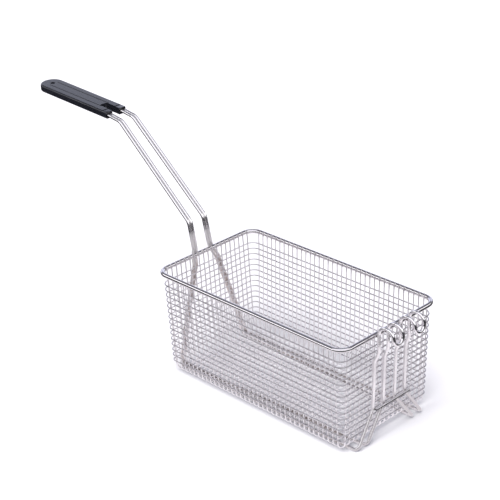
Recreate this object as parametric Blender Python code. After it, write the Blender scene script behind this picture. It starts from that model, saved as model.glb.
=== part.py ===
"""Deep fryer basket: a welded wire basket with two front hooks and a black moulded grip.

Sizes are in millimetres until the last step, which turns them into metres. The basket is
laid out round the middle of its rim: X runs along the basket towards the hooks, the handle
points to -X, Z is up and the rim rod's centre line lies at z = 0. ORIGIN_SHIFT then moves
everything so that the part stands on z = 0 with its bounding box centred on the origin.
"""
import math

import bmesh
import bpy
from mathutils import Matrix, Vector

MM = 0.001
SEAT_GAP = 0.3

# Rim
RIM_ROD = 4.8
RIM_LENGTH = 248.0
RIM_WIDTH = 136.1
RIM_CORNER = 13.0
RIM_SIDES = 8

# Mesh
MESH_WIRE = 1.2
CROSS_COUNT = 37
CROSS_END_MARGIN = 15.1
LONG_COUNT = 19
LONG_SIDE_MARGIN = 12.7
HOOP_COUNT = 15
FIRST_HOOP_DROP = 12.6
LAST_HOOP_RISE = 10.1
WALL_TAPER = 0.042
WELD_BITE = 0.22
WIRE_TOP = 1.9
MESH_DEPTH = 108.8
FLOOR_BEND = 6.5
FLOOR_BEND_STEPS = 2
HOOP_CORNER_TOP = 9.0
HOOP_CORNER_LOW = 5.0
HOOP_CORNER_STEPS = 3

# Support frame
FRAME_WIRE = 3.2
FRAME_SIDES = 8
PAIR_HALF = FRAME_WIRE / 2 + SEAT_GAP / 2
LEG_HALF = 1.95
BEND_STEPS = 4
STRAND_PAIR_Y = 15.0
STRAND_HALF = 7.0
HOOK_PAIR_Y = 14.8
HOOK_HALF = 6.3
HOOK_STEPS = 7
HOOK_RADIUS = 8.7
HOOK_RISE = 1.6
HOOK_END_DROP = 5.8
JOG_TOP = -16.5
JOG_LOW = -27.0
JOG_BEND = 6.0
SPLAY_RISE = 31.2
SPLAY_BEND = 5.0
FOOT_KICK = 3.6
FRONT_FOOT_PAIR_Y = 39.8
FRONT_FOOT_HALF = 6.1
REAR_FOOT_PAIR_Y = 44.0
FOOT_BEND = 5.0
REAR_MID_RISE = 35.8
REAR_MID_PAIR_Y = 34.5
REAR_MID_BEND = 40.0
REAR_WALL_Z = -10.5
REAR_WALL_PAIR_Y = 14.6
REAR_WALL_BEND = 4.0
LEG_RIM_GAP = 0.8
LEG_RIM_Z = 3.0
LEG_RIM_PAIR_Y = 10.2
LEG_RIM_BEND = 6.0
LEG_UNDER_Z = -3.2
LEG_UNDER_PAIR_Y = 11.9
LEG_UNDER_BEND = 3.0
LEG_BEND_PAIR_Y = 9.8
LEG_LOW_BEND_OUT = 6.484
LEG_LOW_BEND_Z = 31.7
LEG_HIGH_BEND_AHEAD = 18.3
LEG_HIGH_BEND_DROP = 2.5
LEG_BEND_RADIUS = 12.0

# Crossbar over the front strands
CROSSBAR_ROD = 2.6
CROSSBAR_LENGTH = 48.0
CROSSBAR_SHIFT = 2.0
CROSSBAR_RISE = 31.3

# Grip
GRIP_FRONT_X = -248.3
GRIP_LENGTH = 117.8
GRIP_TILT = math.radians(2.9)
GRIP_WIDTH = 26.2
GRIP_THICKNESS = 7.6
GRIP_EDGE = 2.4
GRIP_AXIS_Z = 117.8
GRIP_PAIR_Y = 8.9
NOTCH_WIDTH = 9.4
NOTCH_DEPTH = 20.5
SOCKET_DEPTH = 32.0
MOUTH_GAP = 2.0
MOUTH_BEND = 6.0
HANG_HOLE = 5.0
GROOVE_WIDTH = 1.0
GROOVE_DEPTH = 0.5
GROOVE_END = 15.0
COLLAR_LENGTH = 7.5
COLLAR_STEP = 0.5

# Derived sizes
HALF_LENGTH = (RIM_LENGTH - RIM_ROD) / 2
HALF_WIDTH = (RIM_WIDTH - RIM_ROD) / 2
MESH_SIDE = MESH_WIRE * math.sqrt(math.pi) / 2
LAYER = MESH_SIDE + SEAT_GAP
UPRIGHT_INSET = RIM_ROD / 2 + MESH_SIDE / 2 - WELD_BITE
HOOP_INSET = UPRIGHT_INSET - LAYER
CROSS_PITCH = (RIM_LENGTH - 2 * CROSS_END_MARGIN) / (CROSS_COUNT - 1)
LONG_PITCH = (RIM_WIDTH - 2 * LONG_SIDE_MARGIN) / (LONG_COUNT - 1)
HOOP_PITCH = (MESH_DEPTH - FIRST_HOOP_DROP - LAST_HOOP_RISE) / (HOOP_COUNT - 1)
SPLAY_TOP = SPLAY_RISE - MESH_DEPTH
REAR_MID_Z = REAR_MID_RISE - MESH_DEPTH
CROSSBAR_Z = CROSSBAR_RISE - MESH_DEPTH
FLAT = math.cos(math.pi / FRAME_SIDES)


def equal_area_radius(diameter, sides):
    """The corner radius of a polygon that has the area of the round wire."""
    area = math.pi * diameter * diameter / 4
    return math.sqrt(2 * area / (sides * math.sin(2 * math.pi / sides)))


FRAME_RADIUS = equal_area_radius(FRAME_WIRE, FRAME_SIDES)
FLOOR_Z = -MESH_DEPTH - MESH_SIDE / 2
FRAME_FLOOR_Z = FLOOR_Z - SEAT_GAP - FRAME_RADIUS
RIM_CLEAR_X = HALF_LENGTH + equal_area_radius(RIM_ROD, RIM_SIDES) + SEAT_GAP + FRAME_RADIUS
LEG_RIM_X = RIM_CLEAR_X + LEG_RIM_GAP
LEG_LOW_BEND = (-RIM_CLEAR_X - LEG_LOW_BEND_OUT, LEG_LOW_BEND_Z)
LEG_HIGH_BEND = (GRIP_FRONT_X + LEG_HIGH_BEND_AHEAD, GRIP_AXIS_Z - LEG_HIGH_BEND_DROP)
HOOK_FRONT_X = RIM_CLEAR_X + 2 * HOOK_RADIUS
GRIP_REAR_X = GRIP_FRONT_X - GRIP_LENGTH * math.cos(GRIP_TILT)
ORIGIN_SHIFT = Vector((
    -(HOOK_FRONT_X + FRAME_RADIUS * FLAT + GRIP_REAR_X) / 2,
    0.0,
    -(FRAME_FLOOR_Z - FRAME_RADIUS * FLAT),
))


def wall_x(z):
    """Where a frame wire's centre runs just outside the end wall, as a distance from the middle."""
    return HALF_LENGTH - (HOOP_INSET - MESH_SIDE / 2) - WALL_TAPER * -z + SEAT_GAP + FRAME_RADIUS


def clear_scene():
    for item in list(bpy.data.objects):
        bpy.data.objects.remove(item, do_unlink=True)


def make_collection(name, hidden=False):
    made = bpy.data.collections.new(name)
    bpy.context.scene.collection.children.link(made)
    made.hide_render = hidden
    return made


def make_material(name, color, metallic, roughness):
    material = bpy.data.materials.new(name)
    material.use_nodes = True
    shader = material.node_tree.nodes["Principled BSDF"]
    shader.inputs["Base Color"].default_value = (*color, 1.0)
    shader.inputs["Metallic"].default_value = metallic
    shader.inputs["Roughness"].default_value = roughness
    return material


def rounded(corners, steps):
    """A path through corners of (point, bend radius), each bend an arc of so many steps."""
    points = [Vector(corners[0][0])]
    for (before, _), (corner, radius), (after, _) in zip(corners, corners[1:], corners[2:]):
        corner = Vector(corner)
        back = (Vector(before) - corner).normalized()
        ahead = (Vector(after) - corner).normalized()
        half = back.angle(ahead) / 2
        if radius <= 0 or half > math.radians(89.9):
            points.append(corner)
            continue
        centre = corner + (back + ahead).normalized() * (radius / math.sin(half))
        start = corner + back * (radius / math.tan(half)) - centre
        axis = back.cross(ahead).normalized()
        turn = -(math.pi - 2 * half)
        for step in range(steps + 1):
            spin = Matrix.Rotation(turn * step / steps, 3, axis)
            points.append(centre + spin @ start)
    points.append(Vector(corners[-1][0]))
    return points


def rounded_loop(half_x, half_y, radius, z, steps):
    """A closed rounded rectangle at height z."""
    points = []
    for quarter, (sx, sy) in enumerate(((1, 1), (-1, 1), (-1, -1), (1, -1))):
        for step in range(steps + 1):
            angle = math.pi / 2 * (quarter + step / steps)
            points.append(Vector((
                sx * (half_x - radius) + radius * math.cos(angle),
                sy * (half_y - radius) + radius * math.sin(angle),
                z,
            )))
    return points


def tangent_at(points, index, closed):
    count = len(points)
    ahead = points[(index + 1) % count] if closed else points[min(index + 1, count - 1)]
    back = points[index - 1] if closed else points[max(index - 1, 0)]
    here = points[index]
    if ahead == here or back == here:
        return (ahead - back).normalized()
    return ((ahead - here).normalized() + (here - back).normalized()).normalized()


def sweep(work, points, sides, radius, closed=False, anchor=0, up=Vector((0, 0, 1))):
    """Adds to a bmesh a rod along the points, with a flat facing `up` at the anchor point.

    The ring is carried along the path without twist, and widened in each bend's mitre so that
    the rod keeps its section.
    """
    count = len(points)
    tangents = [tangent_at(points, index, closed) for index in range(count)]
    sideways = [None] * count
    first = tangents[anchor]
    sideways[anchor] = (up - first * up.dot(first)).normalized()
    for order in (range(anchor + 1, count), range(anchor - 1, -1, -1)):
        previous = anchor
        for index in order:
            turn = tangents[previous].rotation_difference(tangents[index])
            carried = turn @ sideways[previous]
            carried -= tangents[index] * carried.dot(tangents[index])
            sideways[index] = carried.normalized()
            previous = index
    rings = []
    for index, point in enumerate(points):
        tangent = tangents[index]
        side = sideways[index]
        other = tangent.cross(side)
        ahead = points[(index + 1) % count] if closed or index + 1 < count else None
        mitre = None
        if ahead is not None and (closed or index > 0):
            incoming = (point - points[index - 1]).normalized()
            outgoing = (ahead - point).normalized()
            bend = outgoing - incoming
            if bend.length > 1e-6:
                mitre = bend.normalized()
                stretch = 1 / max(tangent.dot(outgoing), 0.5) - 1
        ring = []
        for corner in range(sides):
            angle = 2 * math.pi * (corner + 0.5) / sides
            offset = (side * math.cos(angle) + other * math.sin(angle)) * radius
            if mitre is not None:
                offset += mitre * offset.dot(mitre) * stretch
            ring.append(work.verts.new(point + offset))
        rings.append(ring)
    pairs = list(zip(rings, rings[1:]))
    if closed:
        pairs.append((rings[-1], rings[0]))
    for here, there in pairs:
        for corner in range(sides):
            following = (corner + 1) % sides
            work.faces.new((here[corner], here[following], there[following], there[corner]))
    if not closed:
        work.faces.new(list(reversed(rings[0])))
        work.faces.new(rings[-1])


def finish(name, work, collection, material=None):
    """Turns a bmesh in millimetres into a placed object in metres."""
    bmesh.ops.recalc_face_normals(work, faces=work.faces)
    mesh = bpy.data.meshes.new(name)
    work.to_mesh(mesh)
    work.free()
    mesh.transform(Matrix.Scale(MM, 4) @ Matrix.Translation(ORIGIN_SHIFT))
    made = bpy.data.objects.new(name, mesh)
    collection.objects.link(made)
    if material is not None:
        mesh.materials.append(material)
    if collection.hide_render:
        made.hide_render = True
        made.display_type = "WIRE"
    return made


def rod(name, points, sides, radius, collection, material=None, **options):
    work = bmesh.new()
    sweep(work, points, sides, radius, **options)
    return finish(name, work, collection, material)


def boolean(target, other, operation):
    modifier = target.modifiers.new(operation.title() + " " + other.name, "BOOLEAN")
    modifier.operation = operation
    modifier.solver = "EXACT"
    modifier.object = other


def cross_wire(x):
    """A U-shaped wire down the near wall, over the floor and up the far wall."""
    top = HALF_WIDTH - UPRIGHT_INSET
    low = top - WALL_TAPER * MESH_DEPTH
    high = top + WALL_TAPER * WIRE_TOP
    return rounded((
        ((x, -high, WIRE_TOP), 0),
        ((x, -low, -MESH_DEPTH), FLOOR_BEND),
        ((x, low, -MESH_DEPTH), FLOOR_BEND),
        ((x, high, WIRE_TOP), 0),
    ), FLOOR_BEND_STEPS)


def long_wire(y):
    """A U-shaped wire down the rear wall, along the floor above the cross wires, and up the front."""
    depth = MESH_DEPTH - LAYER
    top = HALF_LENGTH - UPRIGHT_INSET
    low = top - WALL_TAPER * depth
    high = top + WALL_TAPER * WIRE_TOP
    return rounded((
        ((-high, y, WIRE_TOP), 0),
        ((-low, y, -depth), FLOOR_BEND),
        ((low, y, -depth), FLOOR_BEND),
        ((high, y, WIRE_TOP), 0),
    ), FLOOR_BEND_STEPS)


def build_basket_body(collection, tools, steel):
    """The rim rod with both families of U-shaped wires welded inside it, as one piece."""
    rim = rod(
        "rim_and_basket_wires",
        rounded_loop(HALF_LENGTH, HALF_WIDTH, RIM_CORNER, 0.0, 6),
        RIM_SIDES,
        equal_area_radius(RIM_ROD, RIM_SIDES),
        collection,
        steel,
        closed=True,
    )
    radius = equal_area_radius(MESH_WIRE, 4)
    families = (
        ("cross_wires", cross_wire, CROSS_COUNT, CROSS_PITCH),
        ("long_wires", long_wire, LONG_COUNT, LONG_PITCH),
    )
    for name, path, count, pitch in families:
        work = bmesh.new()
        for index in range(count):
            offset = (index - (count - 1) / 2) * pitch
            points = path(offset)
            sweep(work, points, 4, radius, anchor=len(points) // 2)
        boolean(rim, finish(name, work, tools), "UNION")


def build_hoops(collection, steel):
    radius = equal_area_radius(MESH_WIRE, 4)
    for index in range(HOOP_COUNT):
        depth = FIRST_HOOP_DROP + index * HOOP_PITCH
        inset = HOOP_INSET + WALL_TAPER * depth
        share = index / (HOOP_COUNT - 1)
        corner = HOOP_CORNER_TOP + (HOOP_CORNER_LOW - HOOP_CORNER_TOP) * share
        half_x, half_y = HALF_LENGTH - inset, HALF_WIDTH - inset
        path = rounded_loop(half_x, half_y, corner, -depth, HOOP_CORNER_STEPS)
        rod(f"mesh_hoop_{index + 1:02d}", path, 4, radius, collection, steel, closed=True)


def strand(side, lane):
    """One strand of a frame wire, from its end in the grip to its hook, as (point, bend) corners.

    side is -1 for the near pair and 1 for the far pair; lane is -1 or 1 for the two strands.
    """
    lean = math.tan(GRIP_TILT)
    inside = GRIP_FRONT_X - SOCKET_DEPTH + SEAT_GAP
    mouth = GRIP_FRONT_X + MOUTH_GAP
    foot_x = wall_x(FRAME_FLOOR_Z)
    stations = (
        (inside, GRIP_AXIS_Z + (GRIP_FRONT_X - inside) * lean, GRIP_PAIR_Y, LEG_HALF, 0),
        (mouth, GRIP_AXIS_Z - MOUTH_GAP * lean, GRIP_PAIR_Y, LEG_HALF, MOUTH_BEND),
        (*LEG_HIGH_BEND, GRIP_PAIR_Y, LEG_HALF, LEG_BEND_RADIUS),
        (*LEG_LOW_BEND, LEG_BEND_PAIR_Y, LEG_HALF, LEG_BEND_RADIUS),
        (-LEG_RIM_X, LEG_RIM_Z, LEG_RIM_PAIR_Y, PAIR_HALF, LEG_RIM_BEND),
        (-LEG_RIM_X, LEG_UNDER_Z, LEG_UNDER_PAIR_Y, PAIR_HALF, LEG_UNDER_BEND),
        (-wall_x(REAR_WALL_Z), REAR_WALL_Z, REAR_WALL_PAIR_Y, PAIR_HALF, REAR_WALL_BEND),
        (-wall_x(REAR_MID_Z), REAR_MID_Z, REAR_MID_PAIR_Y, PAIR_HALF, REAR_MID_BEND),
        (-foot_x, FRAME_FLOOR_Z, REAR_FOOT_PAIR_Y, PAIR_HALF, FOOT_BEND),
        (foot_x + FOOT_KICK, FRAME_FLOOR_Z, FRONT_FOOT_PAIR_Y, FRONT_FOOT_HALF, FOOT_BEND),
        (wall_x(SPLAY_TOP), SPLAY_TOP, STRAND_PAIR_Y, STRAND_HALF, SPLAY_BEND),
        (wall_x(JOG_LOW), JOG_LOW, STRAND_PAIR_Y, STRAND_HALF, JOG_BEND),
        (RIM_CLEAR_X, JOG_TOP, HOOK_PAIR_Y, HOOK_HALF, JOG_BEND),
    )
    return [
        ((x, side * (pair + lane * half), z), bend) for x, z, pair, half, bend in stations
    ]


def hook_end(side):
    """The closed front end of a frame wire: over the hook, round the U and back over it."""
    pair = side * HOOK_PAIR_Y
    points = []
    steps = HOOK_STEPS
    for lane in (1, -1):
        arc = []
        for step in range(steps + 1):
            angle = math.pi * step / steps
            arc.append(Vector((
                RIM_CLEAR_X + HOOK_RADIUS * (1 - math.cos(angle)),
                pair + side * lane * HOOK_HALF,
                HOOK_RISE + HOOK_RADIUS * math.sin(angle),
            )))
        if lane == 1:
            points += arc
            for step in range(1, steps):
                angle = math.pi * step / steps
                points.append(Vector((
                    HOOK_FRONT_X,
                    pair + side * HOOK_HALF * math.cos(angle),
                    HOOK_RISE - HOOK_END_DROP * math.sin(angle),
                )))
        else:
            points += reversed(arc)
    return points


def build_frame_wire(name, side, collection, steel):
    outward = rounded(strand(side, 1), BEND_STEPS)[:-1]
    homeward = rounded(strand(side, -1), BEND_STEPS)[:-1]
    path = outward + [Vector(strand(side, 1)[-1][0])] + hook_end(side)
    path += [Vector(strand(side, -1)[-1][0])] + list(reversed(homeward))
    floor_run = [
        index for index, point in enumerate(outward) if abs(point.z - FRAME_FLOOR_Z) < 0.01
    ]
    rod(
        name, path, FRAME_SIDES, FRAME_RADIUS, collection, steel, anchor=floor_run[0],
    )


def build_crossbar(collection, steel):
    radius = equal_area_radius(CROSSBAR_ROD, FRAME_SIDES)
    x = wall_x(CROSSBAR_Z) + FRAME_RADIUS + SEAT_GAP + radius
    ends = (
        Vector((x, CROSSBAR_SHIFT - CROSSBAR_LENGTH / 2, CROSSBAR_Z)),
        Vector((x, CROSSBAR_SHIFT + CROSSBAR_LENGTH / 2, CROSSBAR_Z)),
    )
    rod("front_crossbar", ends, FRAME_SIDES, radius, collection, steel)


def block(name, low, high, place, tools):
    """A box cutter in the grip's own frame."""
    work = bmesh.new()
    bmesh.ops.create_cube(work, size=1.0)
    size = Vector(high) - Vector(low)
    middle = (Vector(high) + Vector(low)) / 2
    fit = Matrix.Translation(middle) @ Matrix.Diagonal((*size, 1.0))
    bmesh.ops.transform(work, verts=work.verts, matrix=place @ fit)
    return finish(name, work, tools)


def build_grip(collection, tools, plastic):
    """The moulded grip, laid out along -X from the prong ends and then tilted onto the legs."""
    place = Matrix.Translation((GRIP_FRONT_X, 0, GRIP_AXIS_Z)) @ Matrix.Rotation(GRIP_TILT, 4, "Y")
    half = GRIP_WIDTH / 2
    outline = [Vector((0, -half)), Vector((0, -NOTCH_WIDTH / 2))]
    outline += [Vector((-NOTCH_DEPTH, -NOTCH_WIDTH / 2)), Vector((-NOTCH_DEPTH, NOTCH_WIDTH / 2))]
    outline += [Vector((0, NOTCH_WIDTH / 2)), Vector((0, half))]
    centre = -GRIP_LENGTH + half
    for step in range(13):
        angle = math.pi / 2 + math.pi * step / 12
        outline.append(Vector((centre + half * math.cos(angle), half * math.sin(angle))))
    work = bmesh.new()
    lower = [work.verts.new((p.x, p.y, -GRIP_THICKNESS / 2)) for p in outline]
    face = work.faces.new(lower)
    grown = bmesh.ops.extrude_face_region(work, geom=[face])
    raised = [item for item in grown["geom"] if isinstance(item, bmesh.types.BMVert)]
    bmesh.ops.translate(work, verts=raised, vec=(0, 0, GRIP_THICKNESS))
    rims = []
    for edge in work.edges:
        level = abs(edge.verts[0].co.z - edge.verts[1].co.z) < 1e-6
        on_side = min(abs(vert.co.y) for vert in edge.verts) > half - 0.01
        on_round = max(vert.co.x for vert in edge.verts) < centre + 0.01
        if level and (on_side or on_round):
            rims.append(edge)
    bmesh.ops.bevel(work, geom=rims, offset=GRIP_EDGE, segments=3, profile=0.5, affect="EDGES")
    bmesh.ops.transform(work, verts=work.verts, matrix=place)
    grip = finish("grip", work, collection, plastic)

    top = GRIP_THICKNESS / 2
    for side in (-1, 1):
        wide = LEG_HALF + FRAME_RADIUS + SEAT_GAP
        tall = FRAME_RADIUS + SEAT_GAP
        middle = side * GRIP_PAIR_Y
        boolean(grip, block(
            f"socket_{side}", (-SOCKET_DEPTH, middle - wide, -tall), (5, middle + wide, tall), place, tools,
        ), "DIFFERENCE")
        groove = side * (NOTCH_WIDTH + GROOVE_WIDTH) / 2
        boolean(grip, block(
            f"groove_{side}",
            (-GRIP_LENGTH + GROOVE_END, groove - GROOVE_WIDTH / 2, top - GROOVE_DEPTH),
            (-NOTCH_DEPTH + 3, groove + GROOVE_WIDTH / 2, top + 1), place, tools,
        ), "DIFFERENCE")
        boolean(grip, block(
            f"collar_{side}",
            (-COLLAR_LENGTH, middle - half, top - COLLAR_STEP),
            (5, middle + half, top + 1), place, tools,
        ), "DIFFERENCE")
    work = bmesh.new()
    bmesh.ops.create_cone(
        work, cap_ends=True, segments=16, radius1=HANG_HOLE / 2, radius2=HANG_HOLE / 2, depth=20,
        matrix=place @ Matrix.Translation((centre, 0, 0)),
    )
    boolean(grip, finish("hang_hole", work, tools), "DIFFERENCE")


def main():
    clear_scene()
    basket = make_collection("deep_fryer_basket")
    tools = make_collection("cutters", hidden=True)
    steel = make_material("plated_steel", (0.82, 0.81, 0.83), 1.0, 0.16)
    plastic = make_material("black_plastic", (0.03, 0.032, 0.04), 0.0, 0.42)
    build_basket_body(basket, tools, steel)
    build_hoops(basket, steel)
    build_frame_wire("frame_wire_near", -1, basket, steel)
    build_frame_wire("frame_wire_far", 1, basket, steel)
    build_crossbar(basket, steel)
    build_grip(basket, tools, plastic)


main()
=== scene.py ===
"""Looks of the deep fryer basket: round wires, spot welds, moulded grip, finishes and studio.

Sizes are in millimetres, laid out round the middle of the rim: X runs towards the hooks, the
handle points to -X, Z is up and the rim's centre line lies at z = 0. `placed` moves a point
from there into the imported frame, in metres.
"""

import logging
import math
from dataclasses import dataclass
from enum import Enum
from functools import cache

import bmesh
import bpy
from mathutils import Matrix, Vector


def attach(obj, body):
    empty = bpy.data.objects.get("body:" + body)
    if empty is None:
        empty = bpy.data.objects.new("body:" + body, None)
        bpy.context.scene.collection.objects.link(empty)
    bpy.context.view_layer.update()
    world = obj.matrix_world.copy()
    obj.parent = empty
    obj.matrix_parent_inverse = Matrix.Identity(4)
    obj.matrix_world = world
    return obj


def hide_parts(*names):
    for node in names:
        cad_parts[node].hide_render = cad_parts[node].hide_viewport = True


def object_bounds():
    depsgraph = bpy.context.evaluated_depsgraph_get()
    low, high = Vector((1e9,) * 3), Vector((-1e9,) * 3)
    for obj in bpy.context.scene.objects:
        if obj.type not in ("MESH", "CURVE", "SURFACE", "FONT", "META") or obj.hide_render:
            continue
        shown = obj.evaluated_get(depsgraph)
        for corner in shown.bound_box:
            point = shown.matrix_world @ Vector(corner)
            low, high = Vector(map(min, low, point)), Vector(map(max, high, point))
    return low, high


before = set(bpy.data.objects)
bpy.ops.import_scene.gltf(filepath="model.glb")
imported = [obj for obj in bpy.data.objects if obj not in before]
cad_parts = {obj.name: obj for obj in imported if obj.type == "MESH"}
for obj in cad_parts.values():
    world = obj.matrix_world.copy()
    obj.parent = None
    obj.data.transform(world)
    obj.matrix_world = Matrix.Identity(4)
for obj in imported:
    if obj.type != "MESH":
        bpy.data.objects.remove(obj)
CAD_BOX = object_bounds()
LOG = logging.getLogger("fryer_basket")

MM = 0.001
ORIGIN_SHIFT = Vector((110.438, 0.0, 112.876))
TO_FRAME = Matrix.Scale(MM, 4) @ Matrix.Translation(ORIGIN_SHIFT)

SKIN_DEPTH = 0.0001
DOME_BULGE = 0.6
DOME_SWEEP = 0.96
NEARLY_STRAIGHT = math.radians(89.9)
STRAY_WAVES = ((38.0, 2.0), (110.0, 1.1))
NUGGET_SPREAD = (0.82, 1.16)
NUGGET_SEED = 7

Pair = tuple[float, float]
Size = tuple[float, float, float]
Color = tuple[float, float, float]
Corner = tuple[Size, float]

FORWARD = Vector((1, 0, 0))
UPWARD = Vector((0, 0, 1))


class Slot(Enum):
    """The record's material slots."""

    STEEL = "plated_steel"
    PLASTIC = "black_plastic"


class Side(Enum):
    """The two sides of the basket, as the sign of y."""

    NEAR = -1
    FAR = 1


# Node trees


class Value:
    """An output socket, with the arithmetic that shader maths needs."""

    def __init__(self, tree: "Tree", socket: bpy.types.NodeSocket) -> None:
        """Wraps one socket.

        Args:
            tree: The tree that new Math nodes go into.
            socket: The output socket that carries the value.
        """
        self.tree = tree
        self.socket = socket

    def math(self, operation: str, *others: "Value | float") -> "Value":
        """Adds a Math node."""
        return self.tree.node("ShaderNodeMath", {"operation": operation}, self, *others)["Value"]

    def __add__(self, other: "Value | float") -> "Value":
        """Sum."""
        return self.math("ADD", other)

    __radd__ = __add__

    def __sub__(self, other: "Value | float") -> "Value":
        """Difference."""
        return self.math("SUBTRACT", other)

    def __rsub__(self, other: float) -> "Value":
        """A plain number minus this value."""
        return self.tree.node("ShaderNodeMath", {"operation": "SUBTRACT"}, other, self)["Value"]

    def __mul__(self, other: "Value | float") -> "Value":
        """Product."""
        return self.math("MULTIPLY", other)

    __rmul__ = __mul__

    def between(self, low: float, high: float) -> "Value":
        """Rises smoothly from 0 at low to 1 at high.

        Args:
            low: Where the rise starts.
            high: Where it ends.

        Returns:
            The share, from 0 to 1.
        """
        settings = {"interpolation_type": "SMOOTHSTEP", "clamp": True}
        return self.tree.node("ShaderNodeMapRange", settings, self, low, high, 0.0, 1.0)["Result"]


class Made:
    """A node that was just made, whose outputs are read by name."""

    def __init__(self, tree: "Tree", node: bpy.types.Node) -> None:
        """Keeps the node and its tree."""
        self.tree = tree
        self.node = node

    def __getitem__(self, name: str) -> Value:
        """The output of that name that is switched on."""
        found = next(s for s in self.node.outputs if s.name == name and s.enabled)
        return Value(self.tree, found)


class Tree:
    """A shader or geometry node tree under construction."""

    def __init__(self, group: bpy.types.NodeTree) -> None:
        """Keeps the tree to add to."""
        self.group = group

    def node(self, kind: str, settings: dict | None = None, *values: object, **named: object) -> Made:
        """Adds a node.

        Args:
            kind: The node's type.
            settings: Its own settings, set before its sockets are touched.
            values: What goes into its enabled inputs, in order; None leaves one as it is.
            named: What goes into inputs by name, with _ for a space.

        Returns:
            The node, ready to read outputs from.
        """
        made = self.group.nodes.new(kind)
        for key, setting in (settings or {}).items():
            setattr(made, key, setting)
        enabled = [s for s in made.inputs if s.enabled]
        for socket, value in zip(enabled, values):
            self.feed(socket, value)
        for name, value in named.items():
            wanted = name.replace("_", " ")
            self.feed(next(s for s in enabled if s.name == wanted), value)
        return Made(self, made)

    def feed(self, socket: bpy.types.NodeSocket, value: object) -> None:
        """Links a Value to an input, or sets a plain value on it.

        Args:
            socket: The input.
            value: What goes into it; None leaves it as it is.
        """
        if isinstance(value, Value):
            self.group.links.new(value.socket, socket)
        elif value is not None:
            socket.default_value = value

    def mix(self, share: Value, below: Value | Color, above: Value | Color) -> Value:
        """Blends two colours.

        Args:
            share: How much of the second one shows.
            below: The first colour.
            above: The second colour.

        Returns:
            The blend.
        """
        below, above = ((*color, 1.0) if isinstance(color, tuple) else color for color in (below, above))
        return self.node("ShaderNodeMix", {"data_type": "RGBA"}, share, below, above)["Result"]

    def vectors(self, operation: str, *values: object) -> Made:
        """A Vector Math node."""
        return self.node("ShaderNodeVectorMath", {"operation": operation}, *values)

    def noise(self, where: Value, scale: float, detail: float = 2.0, rough: float = 0.5) -> Made:
        """A noise texture."""
        return self.node("ShaderNodeTexNoise", None, where, scale, detail, rough)


# Finishes


def new_material(name: str) -> tuple[bpy.types.Material, Tree, "bpy.types.NodeInputs"]:
    """Starts a material.

    Args:
        name: Its name.

    Returns:
        The material, its tree and the inputs of its Principled shader.
    """
    made = bpy.data.materials.new(name)
    made.use_nodes = True
    return made, Tree(made.node_tree), made.node_tree.nodes["Principled BSDF"].inputs


@dataclass(frozen=True)
class Film:
    """A zone of another tone on the plating, from `low` up to `top` and from `start` to `end`.

    All four are pairs of distances in the frame, in metres, between which the film fades in or
    out: the first two upwards, the others towards the hooks. `patch` is how far clouds break it
    up, and `matt` adds to the roughness.
    """

    tone: Color
    strength: float = 0.95
    patch: float = 0.5
    low: Pair = (-2.0, -1.0)
    top: Pair = (1.0, 2.0)
    start: Pair = (-2.0, -1.0)
    end: Pair = (1.0, 2.0)
    matt: float = 0.0
    patch_scale: float = 70.0
    patch_range: Pair = (0.25, 0.75)

    def share(self, tree: Tree, where: Value) -> Value:
        """How strong the film is.

        Args:
            tree: The material's tree.
            where: The place on the object.

        Returns:
            The share, from 0 to 1.
        """
        spot = tree.node("ShaderNodeSeparateXYZ", None, where)
        patchy = tree.noise(where, self.patch_scale, detail=3.0, rough=0.6)["Fac"].between(*self.patch_range)
        zone = spot["Z"].between(*self.low) * (1 - spot["Z"].between(*self.top))
        zone = zone * spot["X"].between(*self.start) * (1 - spot["X"].between(*self.end))
        return zone * (patchy * self.patch + (1 - self.patch)) * self.strength


@dataclass(frozen=True)
class PlatedSteel:
    """Bright nickel over drawn wire: cloudy tint, faint drawing lines, and films of another tone: a brown
    tint, painted shade and painted dark reflections.
    """

    name: str
    bright: Color = (0.82, 0.80, 0.82)
    dull: Color = (0.66, 0.635, 0.65)
    films: tuple[Film, ...] = ()
    roughness: float = 0.17
    roughness_swing: float = 0.14
    grain: float = 0.05
    cloud_scale: float = 46.0
    cloud_range: Pair = (0.32, 0.72)
    cloud_tint: float = 0.55
    speck_scale: float = 620.0
    speck_tint: float = 0.35
    speck_swing: float = 0.08
    swing_middle: float = 0.05
    grain_scale: float = 1500.0

    def material(self) -> bpy.types.Material:
        """Builds the material.

        Returns:
            The finished material.
        """
        made, tree, inputs = new_material(self.name)
        inputs["Metallic"].default_value = 1.0
        where = tree.node("ShaderNodeTexCoord")["Object"]
        cloud = tree.noise(where, self.cloud_scale, detail=4.0, rough=0.6)["Fac"].between(*self.cloud_range)
        speck = tree.noise(where, self.speck_scale, detail=3.0, rough=0.55)["Fac"]
        color = tree.mix(cloud * self.cloud_tint + speck * self.speck_tint, self.bright, self.dull)
        rough = cloud * self.roughness_swing + speck * self.speck_swing
        rough = rough + (self.roughness - self.swing_middle)
        for film in self.films:
            share = film.share(tree, where)
            color = tree.mix(share, color, film.tone)
            rough = rough + share * film.matt
        tree.feed(inputs["Base Color"], color)
        tree.feed(inputs["Roughness"], rough)
        grain = tree.noise(where, self.grain_scale, detail=3.0, rough=0.6)["Fac"]
        bump = tree.node("ShaderNodeBump", None, self.grain, SKIN_DEPTH, Height=grain)
        tree.feed(inputs["Normal"], bump["Normal"])
        return made


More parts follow.
